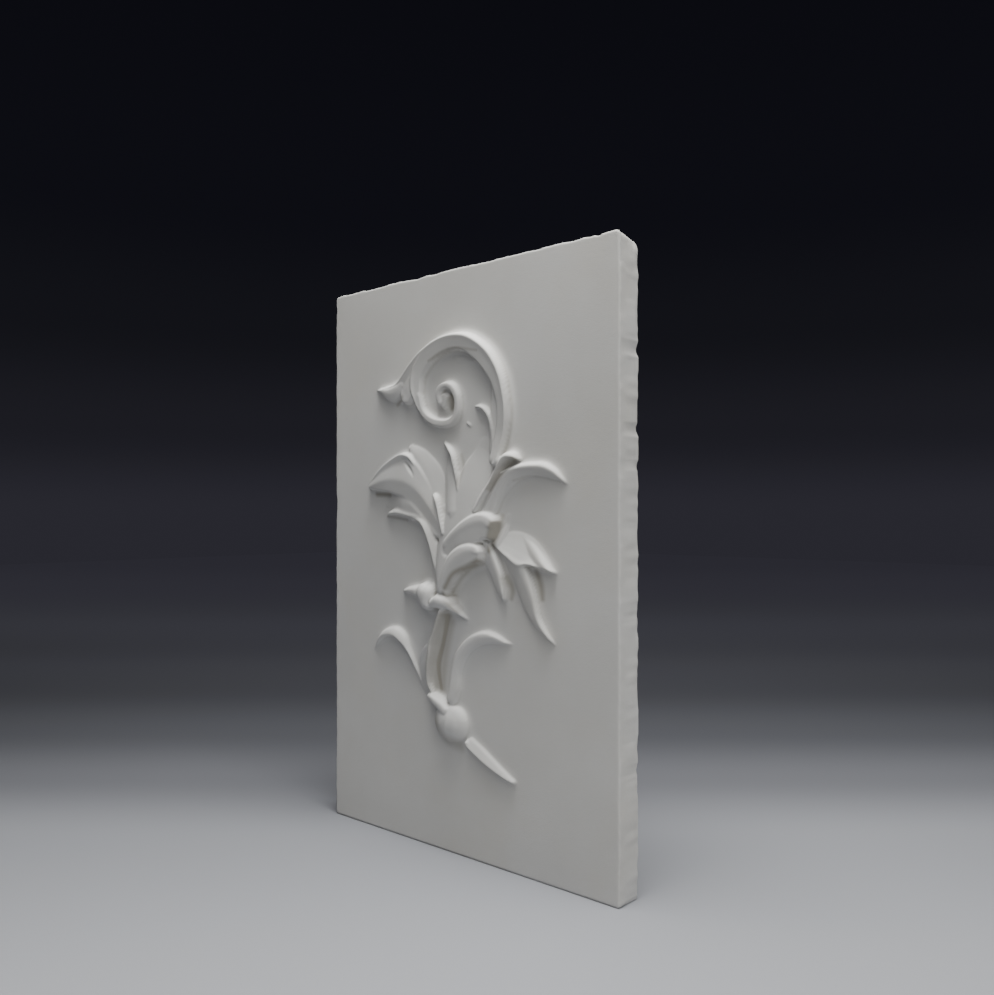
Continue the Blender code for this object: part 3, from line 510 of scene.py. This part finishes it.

# Each mark of painted shade: its strength, and stations along it as (across, up, spread), in template units
shade_marks = (
    (1.0, ((-13, 163, 5), (-21, 135, 5), (-28, 110, 5), (-24, 85, 4))),
    (0.55, ((-10, 156, 7), (-17, 130, 7), (-21, 105, 6), (-21, 83, 4))),
    (0.6, ((-18, 158, 8), (-27, 130, 10), (-31, 105, 10), (-29, 85, 7))),
    (0.8, ((-9, 186, 3.5), (6, 170, 3))),
    (0.9, ((-3, 184, 4), (0, 177, 3.5))),
    (0.8, ((82, 321, 3.5), (70, 313, 4.5), (52, 292, 3))),
    (1.0, ((61, 265, 3.5), (59, 255, 4.5), (55, 243, 4.5), (50, 232, 3))),
    (0.9, ((40, 222, 3), (27, 216, 3), (7, 208, 3), (-6, 193, 3))),
    (0.8, ((105, 213, 4), (110, 200, 4), (112, 188, 3))),
    (0.7, ((68, 206, 4), (74, 195, 4), (73, 186, 3))),
    (0.9, ((-7, 390, 3.5), (-7, 383, 4.5), (-8, 376, 3.5))),
    (0.9, ((-126, 289.5, 3), (-103, 289, 3))),
    (0.6, ((-92, 386, 2.5), (-76, 393, 2.5))),
    (0.6, ((-35, 427, 1.6), (-15, 434, 1.8), (5, 436, 1.8), (35, 430, 1.6))),
    (0.5, ((5, 328, 2.5), (9, 315, 3), (6, 298, 3))),
    (0.35, ((79, 300, 1.5), (99, 304, 1.5), (133, 298, 1.5))),
    (0.6, ((-108, 265.5, 2), (-76, 261.5, 2))),
    (0.55, ((-24, 54, 8), (-15, 39, 9), (4, 33, 8))),
)


def painted_shade_along(x, z, stations):
    """How much painted shade lies at each point along a path of stations (across, up, spread)."""
    path = smooth_path([(*station, 0, 0) for station in stations])
    nearest = np.full(x.shape, np.inf)
    for across_at, up_at, spread in path[:, :3]:
        nearest = np.minimum(nearest, ((x - across_at) ** 2 + (z - up_at) ** 2) / spread ** 2)
    return np.exp(-nearest)


# Painted shade, with some dirt: darker at the forms' feet and in ground closed in between leaves
foot_lines = line_dirt_and_shade * np.clip((soften(heights, line_reach) - heights) / line_depth, 0, 1)
sunk = soften(heights, closed_reach) - heights - closed_start
dirt_and_shade = np.clip(foot_lines + closed_dirt_and_shade * np.clip(sunk / closed_depth, 0, 1), 0, 1)
template_x, template_z = np.meshgrid(template_columns, template_rows)
for strength, stations in shade_marks:
    dirt_and_shade = np.maximum(dirt_and_shade, strength * painted_shade_along(template_x, template_z, stations))
# Painted highlight, with some dust: how much each point faces upwards, where the light from above falls
rise_z, rise_x = np.gradient(heights, template_step)
ledge_dust_and_highlight = np.clip(-rise_z / np.sqrt(1 + rise_x ** 2 + rise_z ** 2), 0, 1)

all_points = np.vstack(points)
panel_mesh = bpy.data.meshes.new("plaster_panel")
panel_mesh.from_pydata(all_points.tolist(), [], faces)
for name, values in (("dirt_and_shade", dirt_and_shade), ("ledge_dust_and_highlight", ledge_dust_and_highlight)):
    carried = np.zeros(len(all_points), np.float32)
    carried[:values.size] = values.ravel()
    panel_mesh.attributes.new(name, "FLOAT", "POINT").data.foreach_set("value", carried)
loose = np.ones(len(all_points), bool)
used = np.zeros(len(panel_mesh.loops), np.int32)
panel_mesh.loops.foreach_get("vertex_index", used)
loose[used] = False

bm = bmesh.new()
bm.from_mesh(panel_mesh)
bm.verts.ensure_lookup_table()
bmesh.ops.delete(bm, geom=[bm.verts[int(i)] for i in np.flatnonzero(loose)], context="VERTS")
bmesh.ops.recalc_face_normals(bm, faces=bm.faces)
bm.to_mesh(panel_mesh)
bm.free()

# The panel's plaster
# White casting plaster gone pale grey with age: faintly mottled, a little yellow where hands and dust
# settled, near white on what faces upwards (partly dust, partly painted highlight) and brown down in the
# hollows and at the forms' feet (partly old dirt, mostly painted shade).
pale = (0.600, 0.596, 0.574)
dull = (0.545, 0.538, 0.510)
cool = (0.560, 0.570, 0.590)
yellowed = (0.560, 0.535, 0.470)
specks = (0.46, 0.44, 0.40)
# Brown for the hollows, feet and marks: partly old dirt, mostly painted shade
dirt_and_shade_brown = (0.270, 0.250, 0.205)
# Near white for what faces upwards: partly dust, partly painted highlight
chalky_dust_and_highlight = (0.90, 0.90, 0.88)
plaster = bpy.data.materials.new("aged plaster")
plaster.use_nodes = True
nodes = plaster.node_tree.nodes
links = plaster.node_tree.links
shader = nodes["Principled BSDF"]
shader.inputs["Metallic"].default_value = 0.0
shader.inputs["IOR"].default_value = 1.45
shader.inputs["Specular IOR Level"].default_value = 0.30


def noise(scale, detail, roughness=0.55, seed=0.0):
    """A cloudy pattern fixed to the piece, in patterns per metre. The seed shifts it along all three axes."""
    place = nodes.new("ShaderNodeTexCoord")
    shift = nodes.new("ShaderNodeMapping")
    shift.inputs["Location"].default_value = (seed, 0.37 * seed, 1.9 * seed)
    cloud = nodes.new("ShaderNodeTexNoise")
    cloud.inputs["Scale"].default_value = scale
    cloud.inputs["Detail"].default_value = detail
    cloud.inputs["Roughness"].default_value = roughness
    links.new(place.outputs["Object"], shift.inputs["Vector"])
    links.new(shift.outputs["Vector"], cloud.inputs["Vector"])
    return cloud.outputs["Fac"]


def between(value, low_value, high_value, to_low=0.0, to_high=1.0):
    """Stretch a value from one range to another, held at both ends."""
    ramp = nodes.new("ShaderNodeMapRange")
    ramp.inputs["From Min"].default_value = low_value
    ramp.inputs["From Max"].default_value = high_value
    ramp.inputs["To Min"].default_value = to_low
    ramp.inputs["To Max"].default_value = to_high
    links.new(value, ramp.inputs["Value"])
    return ramp.outputs["Result"]


def tint(share, under_colour, over_colour):
    """Lay one colour over another by a share."""
    mix = nodes.new("ShaderNodeMix")
    mix.data_type = "RGBA"
    links.new(share, mix.inputs["Factor"])
    for socket, colour in ((mix.inputs["A"], under_colour), (mix.inputs["B"], over_colour)):
        if isinstance(colour, tuple):
            socket.default_value = (*colour, 1.0)
        else:
            links.new(colour, socket)
    return mix.outputs["Result"]


def painted(name):
    """A value that the mesh carries at its points."""
    read = nodes.new("ShaderNodeAttribute")
    read.attribute_name = name
    return read.outputs["Fac"]


colour = tint(between(noise(6.0, 3.0), 0.35, 0.68), pale, dull)
colour = tint(between(noise(2.4, 2.0, seed=3.1), 0.45, 0.75, 0.0, 0.35), colour, cool)
colour = tint(between(noise(14.0, 4.0, seed=7.7), 0.50, 0.78, 0.0, 0.30), colour, yellowed)
colour = tint(between(noise(420.0, 2.0, seed=1.3), 0.66, 0.74, 0.0, 0.22), colour, specks)
# Painted shade, with some old dirt, over the hollows, the feet and the marks
colour = tint(between(painted("dirt_and_shade"), 0.10, 0.90, 0.0, 0.80), colour, dirt_and_shade_brown)
# Painted highlight, with some dust, on what faces upwards
colour = tint(between(painted("ledge_dust_and_highlight"), 0.15, 0.85, 0.0, 0.85), colour, chalky_dust_and_highlight)
links.new(colour, shader.inputs["Base Color"])
links.new(between(noise(30.0, 4.0, seed=4.2), 0.3, 0.7, 0.80, 0.95), shader.inputs["Roughness"])

grain = nodes.new("ShaderNodeMath")
grain.operation = "ADD"
links.new(between(noise(260.0, 5.0, 0.6, seed=2.0), 0.0, 1.0, 0.0, 0.6), grain.inputs[0])
links.new(between(noise(900.0, 3.0, 0.7, seed=5.0), 0.3, 0.8, 0.0, 0.4), grain.inputs[1])
bump = nodes.new("ShaderNodeBump")
bump.inputs["Strength"].default_value = 0.28
bump.inputs["Distance"].default_value = 0.0006
links.new(grain.outputs["Value"], bump.inputs["Height"])
links.new(bump.outputs["Normal"], shader.inputs["Normal"])

# The panel's uneven skin
# No cast face is dead flat: what the mould leaves wavers a little, and so does the screeded back.
# A node tree sinks the skin by two sizes of unevenness, never outwards, and leaves the underside flat.
flat_foot = 0.0005              # the skin is flat up to this height
full_skin = 0.012               # and fully uneven from this height on
skin_sizes = {"Broad Depth": 0.00035, "Broad Scale": 14.0, "Fine Depth": 0.00012, "Fine Scale": 110.0,
              "Seed": 4.0}
skin = bpy.data.node_groups.new("uneven plaster skin", "GeometryNodeTree")
skin.interface.new_socket("Geometry", in_out="INPUT", socket_type="NodeSocketGeometry")
for name, value in skin_sizes.items():
    skin.interface.new_socket(name, in_out="INPUT", socket_type="NodeSocketFloat").default_value = value
skin.interface.new_socket("Geometry", in_out="OUTPUT", socket_type="NodeSocketGeometry")
way_in = skin.nodes.new("NodeGroupInput")
way_out = skin.nodes.new("NodeGroupOutput")
position = skin.nodes.new("GeometryNodeInputPosition")
split = skin.nodes.new("ShaderNodeSeparateXYZ")
skin.links.new(position.outputs["Position"], split.inputs["Vector"])
off_floor = skin.nodes.new("ShaderNodeMapRange")
off_floor.inputs["From Min"].default_value = flat_foot
off_floor.inputs["From Max"].default_value = full_skin
skin.links.new(split.outputs["Z"], off_floor.inputs["Value"])


def skin_math(operation, a, b):
    """Work out one sum of the skin's tree, from numbers or from other nodes."""
    node = skin.nodes.new("ShaderNodeMath")
    node.operation = operation
    for socket, value in zip(node.inputs, (a, b)):
        if isinstance(value, float):
            socket.default_value = value
        else:
            skin.links.new(value, socket)
    return node.outputs["Value"]


def unevenness(scale, depth):
    """A cloudy depth whose scale and depth are two of the tree's named inputs."""
    cloud = skin.nodes.new("ShaderNodeTexNoise")
    cloud.noise_dimensions = "4D"
    cloud.inputs["Detail"].default_value = 2.0
    skin.links.new(position.outputs["Position"], cloud.inputs["Vector"])
    skin.links.new(way_in.outputs["Seed"], cloud.inputs["W"])
    skin.links.new(way_in.outputs[scale], cloud.inputs["Scale"])
    return skin_math("MULTIPLY", cloud.outputs["Fac"], way_in.outputs[depth])


sink = skin_math("ADD", unevenness("Broad Scale", "Broad Depth"), unevenness("Fine Scale", "Fine Depth"))
sink = skin_math("MULTIPLY", sink, off_floor.outputs["Result"])
sink = skin_math("MULTIPLY", sink, -1.0)
normal = skin.nodes.new("GeometryNodeInputNormal")
offset = skin.nodes.new("ShaderNodeVectorMath")
offset.operation = "SCALE"
skin.links.new(normal.outputs["Normal"], offset.inputs["Vector"])
skin.links.new(sink, offset.inputs["Scale"])
move = skin.nodes.new("GeometryNodeSetPosition")
skin.links.new(way_in.outputs["Geometry"], move.inputs["Geometry"])
skin.links.new(offset.outputs["Vector"], move.inputs["Offset"])
realise = skin.nodes.new("GeometryNodeRealizeInstances")
skin.links.new(move.outputs["Geometry"], realise.inputs["Geometry"])
finish = skin.nodes.new("GeometryNodeSetMaterial")
finish.inputs["Material"].default_value = plaster
skin.links.new(realise.outputs["Geometry"], finish.inputs["Geometry"])
skin.links.new(finish.outputs["Geometry"], way_out.inputs["Geometry"])

raw = bpy.data.objects.new("raw_panel", panel_mesh)
bpy.context.scene.collection.objects.link(raw)
skin_modifier = raw.modifiers.new("skin", "NODES")
skin_modifier.node_group = skin
for socket in skin.interface.items_tree:
    if socket.in_out == "INPUT" and socket.name in skin_sizes:
        skin_modifier[socket.identifier] = skin_sizes[socket.name]
evaluated = raw.evaluated_get(bpy.context.evaluated_depsgraph_get())
finished_mesh = bpy.data.meshes.new_from_object(evaluated)
raw.modifiers.remove(skin_modifier)
bpy.data.objects.remove(raw)
finished_mesh.name = "plaster_panel"
finished_mesh.shade_smooth()
panel = bpy.data.objects.new("plaster_panel", finished_mesh)
bpy.context.scene.collection.objects.link(panel)
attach(panel, "root")
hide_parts("relief_panel")

# The floor
# A pale floor that falls away into a dark studio. Its colour darkens with distance along the camera's view, a
# painted falloff of the light, and its far part glows as faintly as the air behind it, a painted glow, so
# that no horizon shows.
floor_reach = 6.0
view_direction = (-0.6734, 0.7394, 0.0)
far_glow = (0.0275, 0.0265, 0.0355)
floor_range = (-0.35, 2.9)      # metres along the view that the colours are spread over
# Painted falloff of the light: the floor's own colour darkens along the view
floor_stops = ((0.0, (0.416, 0.428, 0.46)), (0.12, (0.338, 0.349, 0.38)), (0.19, (0.190, 0.196, 0.218)),
               (0.27, (0.108, 0.113, 0.129)), (0.38, (0.074, 0.077, 0.090)), (0.6, (0.062, 0.064, 0.076)),
               (1.0, (0.02, 0.02, 0.025)))
glow_range = (0.0, 7.0)         # the same for the glow
# Painted glow: the far floor gives off light, though it is no lamp
glow_stops = ((0.0, (0.0, 0.0, 0.0)), (0.113, (0.008, 0.008, 0.010)), (0.18, (0.020, 0.020, 0.025)),
              (0.30, (0.031, 0.031, 0.039)), (0.5, (0.030, 0.029, 0.038)), (0.75, far_glow), (1.0, far_glow))
floor_mesh = bpy.data.meshes.new("floor")
floor_mesh.from_pydata([(-floor_reach, -floor_reach, 0), (floor_reach, -floor_reach, 0),
                        (floor_reach, floor_reach, 0), (-floor_reach, floor_reach, 0)], [], [(0, 1, 2, 3)])
floor = bpy.data.objects.new("floor", floor_mesh)
bpy.context.scene.collection.objects.link(floor)
floor_finish = bpy.data.materials.new("pale floor")
floor_finish.use_nodes = True
nodes = floor_finish.node_tree.nodes
links = floor_finish.node_tree.links
floor_shader = nodes["Principled BSDF"]
floor_shader.inputs["Roughness"].default_value = 0.8
floor_place = nodes.new("ShaderNodeTexCoord")
depth_away = nodes.new("ShaderNodeVectorMath")
depth_away.operation = "DOT_PRODUCT"
depth_away.inputs[1].default_value = view_direction
links.new(floor_place.outputs["Object"], depth_away.inputs[0])


def graded(value, stops):
    """A colour that follows a value smoothly through its stops."""
    ramp = nodes.new("ShaderNodeValToRGB")
    ramp.color_ramp.interpolation = "EASE"
    while len(ramp.color_ramp.elements) < len(stops):
        ramp.color_ramp.elements.new(0.5)
    for element, (place, colour) in zip(ramp.color_ramp.elements, stops):
        element.position = place
        element.color = (*colour, 1.0)
    links.new(value, ramp.inputs["Fac"])
    return ramp.outputs["Color"]


floor_depth = depth_away.outputs["Value"]
# Painted falloff of the light in the base colour
links.new(graded(between(floor_depth, *floor_range), floor_stops), floor_shader.inputs["Base Color"])
# Painted glow in the emission
links.new(graded(between(floor_depth, *glow_range), glow_stops), floor_shader.inputs["Emission Color"])
floor_shader.inputs["Emission Strength"].default_value = 1.0
floor_mesh.materials.append(floor_finish)

# The light and the dark room
# A broad softbox hangs above the floor at the panel's right, and a smaller one high above the panel picks out
# its ledges. The air is almost black overhead and as faint as the far floor at eye level.
warm_white = (1.0, 0.99, 0.97)
sky_range = (0.0, 0.5)          # rise of the view, from level upwards, that the air's colours are spread over
sky_stops = ((0.0, far_glow), (0.17, (0.016, 0.0155, 0.021)), (0.37, (0.0095, 0.0095, 0.013)),
             (0.60, (0.0065, 0.0065, 0.010)), (1.0, (0.0055, 0.0055, 0.0085)))


def soft_light(name, place, aim, size, power):
    """A square soft light that faces a point."""
    lamp = bpy.data.lights.new(name, "AREA")
    lamp.shape = "SQUARE"
    lamp.size = size
    lamp.energy = power
    lamp.color = warm_white
    holder = bpy.data.objects.new(name, lamp)
    holder.location = place
    holder.rotation_euler = (Vector(aim) - Vector(place)).to_track_quat("-Z", "Y").to_euler()
    bpy.context.scene.collection.objects.link(holder)


soft_light("overhead softbox", (1.15, -0.45, 1.45), (0.60, -0.30, 0.0), size=2.4, power=39.0)
soft_light("top light", (0.15, -0.15, 1.40), (0.0, -0.03, 0.32), size=0.45, power=15.0)
world = bpy.data.worlds.new("dark room")
world.use_nodes = True
nodes = world.node_tree.nodes
links = world.node_tree.links
sky_place = nodes.new("ShaderNodeTexCoord")
sky_height = nodes.new("ShaderNodeSeparateXYZ")
links.new(sky_place.outputs["Generated"], sky_height.inputs["Vector"])
sky = graded(between(sky_height.outputs["Z"], *sky_range), sky_stops)
links.new(sky, nodes["Background"].inputs["Color"])
bpy.context.scene.world = world

# The camera
# It stands level in front of the panel and well to its right, a little above half its height, and looks at
# about the middle of the slab, so that the narrow right side shows as well.
camera_right = 0.6831
camera_before = 0.6909          # in front of the slab's face
camera_height = 0.350
camera_data = bpy.data.cameras.new("camera")
camera_data.sensor_fit = "HORIZONTAL"
camera_data.sensor_width = 36.0
camera_data.lens = 34.44
camera_data.shift_y = 0.0146
camera_data.clip_end = 30.0
camera = bpy.data.objects.new("camera", camera_data)
camera.location = (camera_right, slab_front - camera_before, camera_height)
camera.rotation_euler = Vector(view_direction).to_track_quat("-Z", "Y").to_euler()
bpy.context.scene.collection.objects.link(camera)
bpy.context.scene.camera = camera
